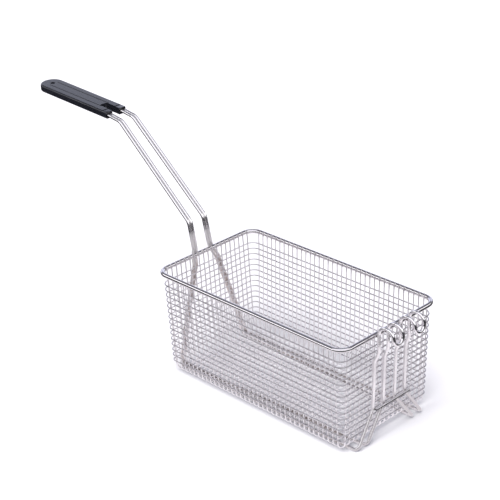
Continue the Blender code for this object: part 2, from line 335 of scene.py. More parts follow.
@dataclass(frozen=True)
class MouldedPlastic:
    """Black phenolic moulding: a faint blue-grey bloom on a satin skin with fine pores."""

    name: str = "black_moulding"
    deep: Color = (0.007, 0.0075, 0.011)
    bloom: Color = (0.013, 0.014, 0.020)
    sheen: float = 0.62
    roughness: float = 0.27
    flow: Size = (0.25, 1.0, 1.0)
    cloud_scale: float = 60.0
    cloud_range: Pair = (0.3, 0.75)
    cloud_swing: float = 0.05
    pore_scale: float = 2200.0
    pore_swing: float = 0.12
    pore_grain: float = 0.12
    swing_middle: float = 0.08

    def material(self) -> bpy.types.Material:
        """Builds the material.

        Returns:
            The finished material.
        """
        made, tree, inputs = new_material(self.name)
        inputs["Specular IOR Level"].default_value = self.sheen
        where = tree.node("ShaderNodeTexCoord")["Object"]
        drawn = tree.node("ShaderNodeMapping", None, where, Scale=self.flow)["Vector"]
        cloud = tree.noise(drawn, self.cloud_scale, detail=4.0, rough=0.6)["Fac"].between(*self.cloud_range)
        pores = tree.noise(where, self.pore_scale)["Fac"]
        tree.feed(inputs["Base Color"], tree.mix(cloud, self.deep, self.bloom))
        rough = cloud * self.cloud_swing + pores * self.pore_swing + (self.roughness - self.swing_middle)
        tree.feed(inputs["Roughness"], rough)
        bump = tree.node("ShaderNodeBump", None, self.pore_grain, SKIN_DEPTH, Height=pores)
        tree.feed(inputs["Normal"], bump["Normal"])
        return made


@dataclass(frozen=True)
class PaperFloor:
    """Matt white sweep of paper, a touch uneven."""

    name: str = "paper_sweep"
    light: Color = (0.93, 0.93, 0.935)
    shade: Color = (0.90, 0.90, 0.905)
    roughness: float = 0.9
    sheen: float = 0.1
    cloud_scale: float = 3.0

    def material(self) -> bpy.types.Material:
        """Builds the material.

        Returns:
            The finished material.
        """
        made, tree, inputs = new_material(self.name)
        inputs["Roughness"].default_value = self.roughness
        inputs["Specular IOR Level"].default_value = self.sheen
        where = tree.node("ShaderNodeTexCoord")["Object"]
        cloud = tree.noise(where, self.cloud_scale)["Fac"]
        tree.feed(inputs["Base Color"], tree.mix(cloud, self.shade, self.light))
        return made


HOOK_POLISH = Film((0.90, 0.88, 0.90), 1.0, 0.0, low=(0.094, 0.102), start=(0.234, 0.240), matt=-0.16)
# Front feet: a darker tone that is painted dark reflection, together with less roughness.
FEET_GLOSS_AND_PAINTED_REFLECTION = Film((0.62, 0.60, 0.61), 1.0, 0.0, top=(0.030, 0.036), start=(0.222, 0.230), matt=-0.20)
LEG_POLISH = Film((0.91, 0.895, 0.90), 1.0, 0.0, low=(0.128, 0.136), end=(-0.012, -0.008), matt=-0.1)
SCOURED_RISERS = Film((0.93, 0.91, 0.915), 1.0, 0.0, top=(0.128, 0.136), end=(-0.012, -0.008), matt=0.3)
BROWNED_RISERS = Film((0.72, 0.635, 0.60), 0.8, top=(0.098, 0.112), end=(-0.010, 0.0))
# Floor strands under the mesh: a brown tint, darkened further by painted shade from the floor wires above
# them.
FLOOR_TINT_AND_PAINTED_SHADE = Film((0.26, 0.225, 0.21), patch=0.3, top=(0.0034, 0.006), end=(0.208, 0.230))
BAR_SHADE = Film((0.03, 0.027, 0.027), 1.0, 0.0, top=(0.0357, 0.0361))
# On the rear wall the uprights and the hoops share one duller, rougher tone.
REAR_UPRIGHTS = Film((0.82, 0.80, 0.82), 1.0, 0.0, end=(-0.006, 0.004), matt=0.15)
REAR_HOOPS = Film((0.82, 0.80, 0.82), 1.0, 0.0, end=(-0.008, 0.002), matt=0.15)

U_WIRE_PLATING = PlatedSteel(
    "cross_wire_plating", (0.97, 0.95, 0.97), (0.88, 0.86, 0.88), (REAR_UPRIGHTS,), roughness=0.30,
)
# The hoops are the same wire as the U-wires; their darker copy of its plating is painted shade, standing for
# the darker reflections that the hoops catch.
HOOP_PLATING_PAINTED_SHADE = PlatedSteel(
    "hoop_plating_painted_shade", (0.64, 0.62, 0.645), (0.48, 0.46, 0.48), (REAR_HOOPS,), roughness=0.24,
)
FRAME_PLATING = PlatedSteel(
    "frame_wire_plating", (0.97, 0.95, 0.965), (0.87, 0.845, 0.86),
    (HOOK_POLISH, FEET_GLOSS_AND_PAINTED_REFLECTION, LEG_POLISH, SCOURED_RISERS, BROWNED_RISERS, FLOOR_TINT_AND_PAINTED_SHADE), roughness=0.28,
)
BAR_PLATING = PlatedSteel("bar_plating", films=(BAR_SHADE,), roughness=0.24)
RIM_PLATING = PlatedSteel("rim_plating", roughness=0.12, roughness_swing=0.08)
FRAME_WELD_PLATING = PlatedSteel(
    "weld_plating", (0.34, 0.315, 0.31), (0.20, 0.18, 0.175), roughness=0.30, grain=0.3,
)
RIM_WELD_PLATING = PlatedSteel(
    "rim_weld_plating", (0.74, 0.71, 0.71), (0.46, 0.43, 0.42), roughness=0.34, grain=0.3,
)


# Paths of the wires


def placed(point: Vector) -> Vector:
    """A laid-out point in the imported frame, in metres."""
    return TO_FRAME @ point


def rounded(corners: list[Corner], steps: int) -> list[Vector]:
    """A path through corners, each bend an arc.

    Args:
        corners: Points with their bend radii; the two ends have none.
        steps: Steps in each arc.

    Returns:
        The path's points.
    """
    points = [Vector(corners[0][0])]
    for (before, _), (corner, radius), (after, _) in zip(corners, corners[1:], corners[2:]):
        corner = Vector(corner)
        back = (Vector(before) - corner).normalized()
        ahead = (Vector(after) - corner).normalized()
        half = back.angle(ahead) / 2
        if radius <= 0 or half > NEARLY_STRAIGHT:
            points.append(corner)
            continue
        centre = corner + (back + ahead).normalized() * (radius / math.sin(half))
        start = corner + back * (radius / math.tan(half)) - centre
        axis = back.cross(ahead).normalized()
        turn = -(math.pi - 2 * half)
        points += [
            centre + Matrix.Rotation(turn * step / steps, 3, axis) @ start
            for step in range(steps + 1)
        ]
    points.append(Vector(corners[-1][0]))
    return points


def rounded_loop(half_x: float, half_y: float, radius: float, z: float, steps: int) -> list[Vector]:
    """A closed rounded rectangle at height z.

    Args:
        half_x: Half its length.
        half_y: Half its width.
        radius: Corner radius.
        z: Height.
        steps: Steps in each corner.

    Returns:
        The loop's points, without a repeated end.
    """
    points = []
    for quarter, (sx, sy) in enumerate(((1, 1), (-1, 1), (-1, -1), (1, -1))):
        for step in range(steps + 1):
            angle = math.pi / 2 * (quarter + step / steps)
            points.append(Vector((
                sx * (half_x - radius) + radius * math.cos(angle),
                sy * (half_y - radius) + radius * math.sin(angle),
                z,
            )))
    return points


def spaced(points: list[Vector], reach: float, closed: bool = False) -> list[Vector]:
    """The same path with long straights split.

    Args:
        points: The path.
        reach: The longest step allowed.
        closed: Whether the path returns to its start.

    Returns:
        The finer path.
    """
    fine = []
    following = points[1:] + (points[:1] if closed else [])
    for here, there in zip(points, following):
        count = max(1, math.ceil((there - here).length / reach))
        fine += [here.lerp(there, step / count) for step in range(count)]
    return fine if closed else fine + [points[-1]]


def dome_ends(points: list[Vector], radius: float, steps: int) -> list[tuple[Vector, float]]:
    """Gives an open path rounded ends.

    Args:
        points: The path, at least as long as the wire is thick.
        radius: The wire's radius.
        steps: Steps in each dome.

    Returns:
        Points with the girth of the wire there, from 0 to 1.
    """
    def cap(end: Vector, inner: Vector) -> list[tuple[Vector, float]]:
        """The dome at one end.

        Args:
            end: The path's end.
            inner: Its neighbour on the path.

        Returns:
            The dome's points with their girths, from the tip inwards.
        """
        away = (end - inner).normalized() * radius * DOME_BULGE
        base = end - away
        angles = [math.pi / 2 * step / steps * DOME_SWEEP for step in range(steps, 0, -1)]
        return [(base + away * math.sin(angle), math.cos(angle)) for angle in angles] + [(base, 1.0)]

    front = cap(points[0], points[1])
    rear = cap(points[-1], points[-2])
    return front + [(p, 1.0) for p in points[1:-1]] + rear[::-1]


class PathSet:
    """Polylines that a wire tree turns into rods."""

    def __init__(self) -> None:
        """Starts with no path."""
        self.points: list[Vector] = []
        self.girths: list[float] = []
        self.edges: list[tuple[int, int]] = []

    def add(self, points: list[Vector], closed: bool = False, girths: list[float] | None = None) -> None:
        """Adds one polyline.

        Args:
            points: Its points, in millimetres.
            closed: Whether it returns to its start.
            girths: The wire's share of its full thickness at each point.
        """
        first = len(self.points)
        self.points += points
        self.girths += girths or [1.0] * len(points)
        last = len(self.points) - 1
        self.edges += [(index, index + 1) for index in range(first, last)]
        if closed:
            self.edges.append((last, first))

    def add_domed(self, points: list[Vector], radius: float, steps: int = 4) -> None:
        """Adds an open path with rounded ends.

        Args:
            points: The path.
            radius: The wire's radius.
            steps: Steps in each dome.
        """
        capped = dome_ends(points, radius, steps)
        self.add([point for point, _ in capped], girths=[girth for _, girth in capped])

    def mesh(self, name: str) -> bpy.types.Mesh:
        """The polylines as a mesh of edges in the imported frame.

        Args:
            name: The mesh's name.

        Returns:
            The mesh, with each point's girth as an attribute.
        """
        made = bpy.data.meshes.new(name)
        made.from_pydata([placed(point) for point in self.points], self.edges, [])
        girth = made.attributes.new("girth", "FLOAT", "POINT")
        girth.data.foreach_set("value", self.girths)
        return made


# Geometry trees


class Sockets(Enum):
    """Kinds of group input."""

    NUMBER = "NodeSocketFloat"
    COUNT = "NodeSocketInt"
    DIRECTION = "NodeSocketVector"
    FINISH = "NodeSocketMaterial"
    SHAPE = "NodeSocketGeometry"


class GeometryTree(Tree):
    """A geometry node group with named inputs."""

    def __init__(self, name: str, inputs: dict[str, Sockets]) -> None:
        """Makes the group.

        Args:
            name: The group's name.
            inputs: Its inputs besides the geometry.
        """
        super().__init__(bpy.data.node_groups.new(name, "GeometryNodeTree"))
        face = self.group.interface
        face.new_socket("Geometry", in_out="INPUT", socket_type=Sockets.SHAPE.value)
        for label, kind in inputs.items():
            face.new_socket(label, in_out="INPUT", socket_type=kind.value)
        face.new_socket("Geometry", in_out="OUTPUT", socket_type=Sockets.SHAPE.value)
        self.given = self.node("NodeGroupInput")

    def wander(self, shape: Value, amount: Value, seed: Value) -> Value:
        """Moves points by a smooth field of their place, so that crossing wires move together.

        Args:
            shape: The geometry.
            amount: The furthest a point may move, in metres.
            seed: Where in the noise the field is read.

        Returns:
            The moved geometry.
        """
        where = self.node("GeometryNodeInputPosition")["Position"]
        moved = self.vectors("ADD", where, seed)["Vector"]
        offset = None
        for scale, share in STRAY_WAVES:
            field = self.noise(moved, scale, detail=1.0)["Color"]
            centred = self.vectors("SUBTRACT", field, (0.5, 0.5, 0.5))["Vector"]
            part = self.vectors("SCALE", centred, amount * share)["Vector"]
            offset = part if offset is None else self.vectors("ADD", offset, part)["Vector"]
        return self.node("GeometryNodeSetPosition", None, shape, Offset=offset)["Geometry"]

    def close(self, shape: Value) -> bpy.types.NodeTree:
        """Ends the tree in Realize Instances and Set Material.

        Args:
            shape: The geometry to give out.

        Returns:
            The finished group.
        """
        plain = self.node("GeometryNodeRealizeInstances", None, shape)["Geometry"]
        done = self.node("GeometryNodeSetMaterial", None, plain, Material=self.given["Finish"])
        self.node("NodeGroupOutput", None, done["Geometry"])
        return self.group


@cache
def wire_tree() -> bpy.types.NodeTree:
    """Repeats polylines along a row and gives them a round section.

    Returns:
        The node group.
    """
    tree = GeometryTree("round_wires", {
        "Count": Sockets.COUNT,
        "Pitch": Sockets.DIRECTION,
        "Wire diameter": Sockets.NUMBER,
        "Sides": Sockets.COUNT,
        "Wander": Sockets.NUMBER,
        "Seed": Sockets.NUMBER,
        "Finish": Sockets.FINISH,
    })
    given = tree.given
    start = tree.vectors("SCALE", given["Pitch"], (given["Count"] - 1) * -0.5)["Vector"]
    row = tree.node("GeometryNodeMeshLine", {"mode": "OFFSET"}, given["Count"], start, given["Pitch"])
    placed_row = tree.node("GeometryNodeInstanceOnPoints", None, row["Mesh"], Instance=given["Geometry"])
    paths = tree.node("GeometryNodeRealizeInstances", None, placed_row["Instances"])["Geometry"]
    bent = tree.wander(paths, given["Wander"], given["Seed"])
    curves = tree.node("GeometryNodeMeshToCurve", None, bent)["Curve"]
    radius = given["Wire diameter"] * 0.5
    circle = "GeometryNodeCurvePrimitiveCircle"
    section = tree.node(circle, {"mode": "RADIUS"}, given["Sides"], Radius=radius)
    girth = tree.node("GeometryNodeInputNamedAttribute", {"data_type": "FLOAT"}, "girth")["Attribute"]
    swept = tree.node("GeometryNodeCurveToMesh", None, curves, section["Curve"], girth, True)["Mesh"]
    return tree.close(tree.node("GeometryNodeSetShadeSmooth", None, swept)["Geometry"])


@cache
def weld_tree() -> bpy.types.NodeTree:
    """Puts a small flattened nugget on every point, seated by its `facing` and `size`.

    Returns:
        The node group.
    """
    tree = GeometryTree("weld_nuggets", {
        "Nugget radius": Sockets.NUMBER,
        "Detail": Sockets.COUNT,
        "Wander": Sockets.NUMBER,
        "Seed": Sockets.NUMBER,
        "Finish": Sockets.FINISH,
    })
    given = tree.given
    attribute = "GeometryNodeInputNamedAttribute"
    bent = tree.wander(given["Geometry"], given["Wander"], given["Seed"])
    bead = tree.node("GeometryNodeMeshIcoSphere", None, given["Nugget radius"], given["Detail"])["Mesh"]
    facing = tree.node(attribute, {"data_type": "FLOAT_VECTOR"}, "facing")["Attribute"]
    size = tree.node(attribute, {"data_type": "FLOAT_VECTOR"}, "size")["Attribute"]
    turned = tree.node("FunctionNodeAlignRotationToVector", {"axis": "Z"}, Vector=facing)["Rotation"]
    chance = {"data_type": "FLOAT"}
    swing = tree.node("FunctionNodeRandomValue", chance, *NUGGET_SPREAD, None, NUGGET_SEED)["Value"]
    scale = tree.vectors("SCALE", size, swing)["Vector"]
    beads = tree.node(
        "GeometryNodeInstanceOnPoints", None, bent, Instance=bead, Rotation=turned, Scale=scale,
    )["Instances"]
    plain = tree.node("GeometryNodeRealizeInstances", None, beads)["Geometry"]
    return tree.close(tree.node("GeometryNodeSetShadeSmooth", None, plain)["Geometry"])


def linked(name: str, data: bpy.types.ID) -> bpy.types.Object:
    """Puts a new object into the scene.

    Args:
        name: Its name.
        data: What it shows.

    Returns:
        The object.
    """
    made = bpy.data.objects.new(name, data)
    bpy.context.scene.collection.objects.link(made)
    return made


def grown(name: str, source: bpy.types.Mesh, group: bpy.types.NodeTree, values: dict) -> bpy.types.Object:
    """Runs a geometry tree over a mesh and keeps the result as a plain mesh.

    Args:
        name: The new piece's name.
        source: What the tree starts from.
        group: The tree.
        values: What goes into its named inputs.

    Returns:
        The piece, with no modifier left.
    """
    piece = linked(name, source)
    modifier = piece.modifiers.new("grow", "NODES")
    modifier.node_group = group
    for item in group.interface.items_tree:
        if item.item_type == "SOCKET" and item.in_out == "INPUT" and item.name in values:
            modifier[item.identifier] = values[item.name]
    bake(piece)
    for label in ("girth", "facing", "size"):
        left = piece.data.attributes.get(label)
        if left:
            piece.data.attributes.remove(left)
    return piece


def bake(piece: bpy.types.Object) -> None:
    """Turns a piece's modifiers into its plain mesh, and takes them off.

    Args:
        piece: The piece.
    """
    graph = bpy.context.evaluated_depsgraph_get()
    result = bpy.data.meshes.new_from_object(piece.evaluated_get(graph))
    piece.modifiers.clear()
    source, piece.data = piece.data, result
    bpy.data.meshes.remove(source)
    result.name = piece.name


def put_in_order(mesh: bpy.types.Mesh) -> None:
    """Numbers points and faces by their place, because a Boolean's own order varies by run.

    Args:
        mesh: The plain mesh, changed in place.
    """
    points = [vertex.co.to_tuple() for vertex in mesh.vertices]
    order = sorted(range(len(points)), key=points.__getitem__)
    rank = {old: fresh for fresh, old in enumerate(order)}
    faces = []
    for face in mesh.polygons:
        corners = [rank[index] for index in face.vertices]
        start = corners.index(min(corners))
        faces.append(corners[start:] + corners[:start])
    mesh.clear_geometry()
    mesh.from_pydata([points[index] for index in order], [], sorted(faces))


def rods(name: str, paths: PathSet, diameter: float, sides: int, finish: bpy.types.Material,
         count: int = 1, pitch: Size = (0.0, 0.0, 0.0),
         wander: float = 0.0, seed: float = 0.0) -> bpy.types.Object:
    """Sweeps a round wire along paths, and repeats it in a row.

    Args:
        name: The piece's name.
        paths: The paths.
        diameter: The wire's, in millimetres.
        sides: Sides of its section.
        finish: Its material.
        count: How many copies stand in the row.
        pitch: From one to the next, in millimetres.
        wander: How far the wires stray, in millimetres.
        seed: Where the noise of their straying is read.

    Returns:
        The piece.
    """
    return grown(name, paths.mesh(name), wire_tree(), {
        "Count": count, "Pitch": Vector(pitch) * MM, "Wire diameter": diameter * MM, "Sides": sides,
        "Wander": wander * MM, "Seed": seed, "Finish": finish,
    })


@dataclass
class Nugget:
    """One weld: where it sits, which way it faces and how big it is."""

    point: Vector
    facing: Vector
    size: Size


def nuggets(name: str, spots: list[Nugget], radius: float, detail: int, finish: bpy.types.Material,
            wander: float = 0.0, seed: float = 0.0) -> bpy.types.Object:
    """Makes one piece of many welds.

    Args:
        name: The piece's name.
        spots: The welds.
        radius: The plain nugget's radius, in millimetres.
        detail: Subdivisions of each nugget.
        finish: The material.
        wander: How far the mesh strays, in millimetres.
        seed: Where the noise of its straying is read.

    Returns:
        The piece.
    """
    mesh = bpy.data.meshes.new(name)
    mesh.from_pydata([placed(spot.point) for spot in spots], [], [])
    for label, values in (("facing", [s.facing for s in spots]), ("size", [s.size for s in spots])):
        attribute = mesh.attributes.new(label, "FLOAT_VECTOR", "POINT")
        attribute.data.foreach_set("vector", [c for value in values for c in value])
    return grown(name, mesh, weld_tree(), {
        "Nugget radius": radius * MM, "Detail": detail, "Wander": wander * MM, "Seed": seed,
        "Finish": finish,
    })


def hand_over(piece: bpy.types.Object, slot: Slot, *nodes: str) -> None:
    """Puts a finished piece on the basket's one body and reports it.

    Args:
        piece: The piece.
        slot: Its material slot in the record; not used.
        nodes: The CAD nodes that it stands for.
    """
    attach(piece, "root")
    if nodes:
        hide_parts(*nodes)
    triangles = sum(len(face.vertices) - 2 for face in piece.data.polygons)
    LOG.info("%s: %d triangles", piece.name, triangles)


# Sub-assemblies


@dataclass
class Basket:
    """The rim rod and the welded mesh hanging in it."""

    rim_rod: float = 4.8
    rim_drawn: float = 4.67
    rim_length: float = 248.0
    rim_width: float = 136.1
    rim_corner: float = 13.0
    rim_sides: int = 32
    rim_steps: int = 16
    wire: float = 1.2
    wire_sides: int = 8
    cross_count: int = 37
    cross_pitch: float = 6.05
    long_count: int = 19
    long_pitch: float = 6.15
    hoop_count: int = 15
    hoop_pitch: float = 6.15
    first_hoop: float = 12.6
    taper: float = 0.042
    upright_inset: float = 2.712
    layer: float = 1.14
    wire_top: float = 1.9
    wire_tuck: float = -0.6
    depth: float = 108.8
    floor_bend: float = 6.5
    bend_steps: int = 6
    hoop_corner_top: float = 9.0
    hoop_corner_low: float = 5.0
    hoop_steps: int = 8
    reach: float = 6.0
    wander: float = 0.22
    seed: float = 3.7

    @property
    def half_length(self) -> float:
        """Half the rim's centre line, along x."""
        return (self.rim_length - self.rim_rod) / 2

    @property
    def half_width(self) -> float:
        """Half the rim's centre line, along y."""
        return (self.rim_width - self.rim_rod) / 2

    @property
    def crosses(self) -> list[float]:
        """Where the crosswise wires stand along x."""
        return [(i - (self.cross_count - 1) / 2) * self.cross_pitch for i in range(self.cross_count)]

    @property
    def longs(self) -> list[float]:
        """Where the lengthwise wires stand along y."""
        return [(i - (self.long_count - 1) / 2) * self.long_pitch for i in range(self.long_count)]

    @property
    def drops(self) -> list[float]:
        """How far below the rim each hoop lies."""
        return [self.first_hoop + i * self.hoop_pitch for i in range(self.hoop_count)]

    def wall(self, half: float, drop: float) -> float:
        """How far out an upright's centre stands at that depth."""
        return half - self.upright_inset - self.taper * drop

    def u_path(self, half: float, depth: float, along_x: bool, tops: Pair) -> list[Vector]:
        """A U-shaped wire over the floor.

        Args:
            half: Half the rim across the wire.
            depth: How far down its floor run lies.
            along_x: Whether it runs along x rather than y.
            tops: How high its first and last tip stand.

        Returns:
            Its points, at the middle of the row.
        """
        low = self.wall(half, depth)
        first, last = tops
        flat = (
            ((-self.wall(half, -first), first), 0), ((-low, -depth), self.floor_bend),
            ((low, -depth), self.floor_bend), ((self.wall(half, -last), last), 0),
        )
        corners = [((a, 0.0, z) if along_x else (0.0, a, z), bend) for (a, z), bend in flat]
        return spaced(rounded(corners, self.bend_steps), self.reach)

    def hoop_path(self, index: int) -> list[Vector]:
        """The loop of one hoop.

        Args:
            index: Which one, counted from the top.

        Returns:
            Its points.
        """
        drop = self.drops[index]
        inset = self.upright_inset - self.layer + self.taper * drop
        share = index / (self.hoop_count - 1)
        corner = self.hoop_corner_top + (self.hoop_corner_low - self.hoop_corner_top) * share
        half_x, half_y = self.half_length - inset, self.half_width - inset
        loop = rounded_loop(half_x, half_y, corner, -drop, self.hoop_steps)
        return spaced(loop, self.reach, closed=True)

    def row(self, name: str, path: list[Vector], count: int, pitch: Size,
            finish: bpy.types.Material) -> bpy.types.Object:
        """A row of equal wires.

        Args:
            name: The piece's name.
            path: The wire's path at the middle of the row.
            count: How many wires.
            pitch: From one to the next, in millimetres.
            finish: Their material.

        Returns:
            The piece.
        """
        paths = PathSet()
        paths.add_domed(path, self.wire / 2)
        return rods(name, paths, self.wire, self.wire_sides, finish, count, pitch, self.wander, self.seed)

    def build(self, pale: bpy.types.Material, steel: bpy.types.Material, bright: bpy.types.Material,
              weld: bpy.types.Material) -> None:
        """Builds the rim, the wires, the hoops and their welds.

        Args:
            pale: Finish of the U-shaped wires.
            steel: Finish of the hoops and of their welds, a darker copy of the wire plating that is painted
                shade.
            bright: Finish of the rim.
            weld: Finish of the welds at the rim.
        """
        ring, hoops = PathSet(), PathSet()
        loop = rounded_loop(self.half_length, self.half_width, self.rim_corner, 0.0, self.rim_steps)
        ring.add(loop, closed=True)
        tuck, top = self.wire_tuck, self.wire_top
        cross = self.u_path(self.half_width, self.depth, False, (tuck, top))
        long = self.u_path(self.half_length, self.depth - self.layer, True, (top, tuck))
        for piece in (
            rods("rim_rod", ring, self.rim_drawn, self.rim_sides, bright),
            self.row("cross_wires", cross, self.cross_count, (self.cross_pitch, 0.0, 0.0), pale),
            self.row("long_wires", long, self.long_count, (0.0, self.long_pitch, 0.0), pale),
        ):
            hand_over(piece, Slot.STEEL, "rim_and_basket_wires")
        for index in range(self.hoop_count):
            hoops.add(self.hoop_path(index), closed=True)
        piece = rods(
            "mesh_hoops", hoops, self.wire, self.wire_sides, steel, wander=self.wander, seed=self.seed,
        )
        hand_over(piece, Slot.STEEL, *[f"mesh_hoop_{i + 1:02d}" for i in range(self.hoop_count)])
        Welds(self, steel, weld).build()


@dataclass
class Welds:
    """The resistance welds at the mesh crossings and at the rim."""

    basket: Basket
    steel: bpy.types.Material
    finish: bpy.types.Material
    nugget: float = 0.5
    size: Size = (1.0, 1.0, 0.9)
    rim_size: Size = (2.6, 2.6, 2.0)
    rim_bite: float = 0.1
    rim_sink: float = -0.9
    top_size: Size = (2.3, 2.0, 1.7)
    top_inset: float = 1.5
    top_lift: float = 1.6
    floor_margin: float = 1.0

    def walls(self) -> list[Nugget]:
        """Nuggets where hoops cross the uprights.

        Returns:
            The nuggets.
        """
        made = []
        b = self.basket
        for drop in b.drops:
            y = b.wall(b.half_width, drop) + b.layer / 2
            x = b.wall(b.half_length, drop) + b.layer / 2
            for sign in (-1, 1):
                made += [(Vector((c, sign * y, -drop)), Vector((0, sign, 0))) for c in b.crosses]
                made += [(Vector((sign * x, l, -drop)), Vector((sign, 0, 0))) for l in b.longs]
        return [Nugget(point, facing, self.size) for point, facing in made]

    def floor(self) -> list[Nugget]:
        """Nuggets where the two families cross on the floor.

        Returns:
            The nuggets.
        """
        b = self.basket
        z = -b.depth + b.layer / 2
        edge = b.wall(b.half_width, b.depth) - self.floor_margin
        return [
            Nugget(Vector((c, l, z)), UPWARD, self.size) for c in b.crosses for l in b.longs if abs(l) < edge
        ]

    def rim(self) -> list[Nugget]:
        """Nuggets where the uprights meet the rim rod.

        Returns:
            The nuggets.
        """
        b = self.basket
        low = (b.rim_drawn / 2 - self.rim_bite, self.rim_sink, self.rim_size)
        high = (self.top_inset, self.top_lift, self.top_size)
        made = []
        for sign, cross, long in ((-1, low, high), (1, high, low)):
            inset, lift, size = cross
            y = sign * (b.half_width - inset)
            made += [Nugget(Vector((c, y, lift)), Vector((0, sign, 0)), size) for c in b.crosses]
            inset, lift, size = long
            x = sign * (b.half_length - inset)
            made += [Nugget(Vector((x, l, lift)), Vector((sign, 0, 0)), size) for l in b.longs]
        return made

    def build(self) -> None:
        """Builds the nuggets of the mesh, and those at the rim, as two pieces."""
        b = self.basket
        for name, spots, detail, finish in (
            ("mesh_welds", self.walls() + self.floor(), 1, self.steel),
            ("rim_welds", self.rim(), 2, self.finish),
        ):
            hand_over(nuggets(name, spots, self.nugget, detail, finish, b.wander, b.seed), Slot.STEEL)


@dataclass
class Grip:
    """The black moulding on the leg ends: two prongs, a panel with two grooves, a hanging hole."""

    front: float = -248.3
    axis: float = 117.8
    tilt: float = math.radians(2.9)
    length: float = 117.75
    width: float = 26.2
    thickness: float = 7.54
    edge: float = 1.9
    notch_width: float = 9.4
    notch_depth: float = 20.5
    notch_corner: float = 2.0
    socket_depth: float = 32.0
    socket_corner: float = 1.6
    pair: float = 8.9
    leg_half: float = 1.95
    wire_room: float = 1.9857
    hole: float = 5.0
    hole_reach: float = 20.0
    groove_width: float = 1.0
    groove_depth: float = 0.5
    groove_corner: float = 0.3
    groove_lead: float = 3.0
    groove_end: float = 15.0
    collar: float = 7.5
    collar_step: float = 0.5
    overshoot: float = 5.0
    headroom: float = 1.0
    soft_edge: float = 0.28
    soft_angle: float = math.radians(38)
    sharp_angle: float = math.radians(34)
    corner_steps: int = 4
    round_steps: int = 32
    edge_steps: int = 6
    slack: float = 0.01

    @property
    def here(self) -> Matrix:
        """From the grip's own axes to the layout: x = 0 at the prong ends."""
        return Matrix.Translation((self.front, 0, self.axis)) @ Matrix.Rotation(self.tilt, 4, "Y")

    def outline(self) -> list[Vector]:
        """The plan of the body, with the notch and the round rear end.

        Returns:
            Its points, in order.
        """
        half = self.width / 2
        inner = self.notch_width / 2
        corner = self.notch_corner
        points = [Vector((0, -half)), Vector((0, -inner))]
        for sign in (-1, 1):
            turn = []
            for step in range(self.corner_steps + 1):
                angle = math.pi / 2 * step / self.corner_steps
                turn.append(Vector((
                    -self.notch_depth + corner - corner * math.sin(angle),
                    sign * (inner - corner + corner * math.cos(angle)),
                )))
            points += turn if sign < 0 else turn[::-1]
        points += [Vector((0, inner)), Vector((0, half))]
        centre = half - self.length
        for step in range(self.round_steps + 1):
            angle = math.pi / 2 + math.pi * step / self.round_steps
            points.append(Vector((centre + half * math.cos(angle), half * math.sin(angle))))
        return points

    def body(self) -> bpy.types.Object:
        """The plain moulding with rounded long edges.

        Returns:
            The piece, with nothing cut out yet.
        """
        work = bmesh.new()
        lower = [work.verts.new((p.x, p.y, -self.thickness / 2)) for p in self.outline()]
        face = work.faces.new(lower)
        grown_up = bmesh.ops.extrude_face_region(work, geom=[face])
        raised = [v for v in grown_up["geom"] if isinstance(v, bmesh.types.BMVert)]
        bmesh.ops.translate(work, verts=raised, vec=(0, 0, self.thickness))
        side = self.width / 2 - self.slack
        round_end = self.width / 2 - self.length + self.slack
        rims = []
        for edge in work.edges:
            ends = [v.co for v in edge.verts]
            level = abs(ends[0].z - ends[1].z) < self.slack
            if level and (min(abs(p.y) for p in ends) > side or max(p.x for p in ends) < round_end):
                rims.append(edge)
        bmesh.ops.bevel(
            work, geom=rims, offset=self.edge, segments=self.edge_steps, profile=0.5, affect="EDGES",
        )
        return self.solid("handle_grip", work)

    def solid(self, name: str, work: bmesh.types.BMesh) -> bpy.types.Object:
        """Turns a shape in the grip's axes into an object in the frame.

        Args:
            name: Its name.
            work: The shape, freed here.

        Returns:
            The object.
        """
        bmesh.ops.transform(work, verts=work.verts, matrix=TO_FRAME @ self.here)
        bmesh.ops.recalc_face_normals(work, faces=work.faces)
        mesh = bpy.data.meshes.new(name)
        work.to_mesh(mesh)
        work.free()
        return linked(name, mesh)

    def cutter(self, name: str, low: Size, high: Size, soften: float) -> bpy.types.Object:
        """A block to cut with, its edges along x rounded.

        Args:
            name: Its name.
            low: Its lowest corner, in the grip's axes.
            high: Its highest corner.
            soften: Radius of the rounding.

        Returns:
            The cutter.
        """
        work = bmesh.new()
        bmesh.ops.create_cube(work, size=1.0)
        size = Vector(high) - Vector(low)
        middle = (Vector(high) + Vector(low)) / 2
        fit = Matrix.Translation(middle) @ Matrix.Diagonal((*size, 1.0))
        bmesh.ops.transform(work, verts=work.verts, matrix=fit)
        if soften > 0:
            along = [e for e in work.edges if abs(e.verts[0].co.x - e.verts[1].co.x) > size.x / 2]
            bmesh.ops.bevel(
                work, geom=along, offset=soften, segments=self.corner_steps, profile=0.5, affect="EDGES",
            )
        return self.solid(name, work)

    def cutters(self) -> list[bpy.types.Object]:
        """Makes blocks for the sockets, the grooves, the collars and the hanging hole.

        Returns:
            What is to be cut out of the body.
        """
        half = self.width / 2
        top = self.thickness / 2
        over = top + self.headroom
        room = self.wire_room
        wide = self.leg_half + room
        step = self.groove_width / 2
        made = []
        for sign in (-1, 1):
            middle = sign * self.pair
            groove = sign * (self.notch_width + self.groove_width) / 2
            for name, low, high, soften in (
                ("socket", (-self.socket_depth, middle - wide, -room),
                 (self.overshoot, middle + wide, room), self.socket_corner),
                ("groove", (-self.length + self.groove_end, groove - step, top - self.groove_depth),
                 (-self.notch_depth + self.groove_lead, groove + step, over), self.groove_corner),
                ("collar", (-self.collar, middle - half, top - self.collar_step),
                 (self.overshoot, middle + half, over), 0.0),
            ):
                made.append(self.cutter(f"{name}{sign}", low, high, soften))
        work = bmesh.new()
        bmesh.ops.create_cone(
            work, cap_ends=True, segments=self.round_steps, radius1=self.hole / 2, radius2=self.hole / 2,
            depth=self.hole_reach, matrix=Matrix.Translation((half - self.length, 0, 0)),
        )
        made.append(self.solid("hole", work))
        return made

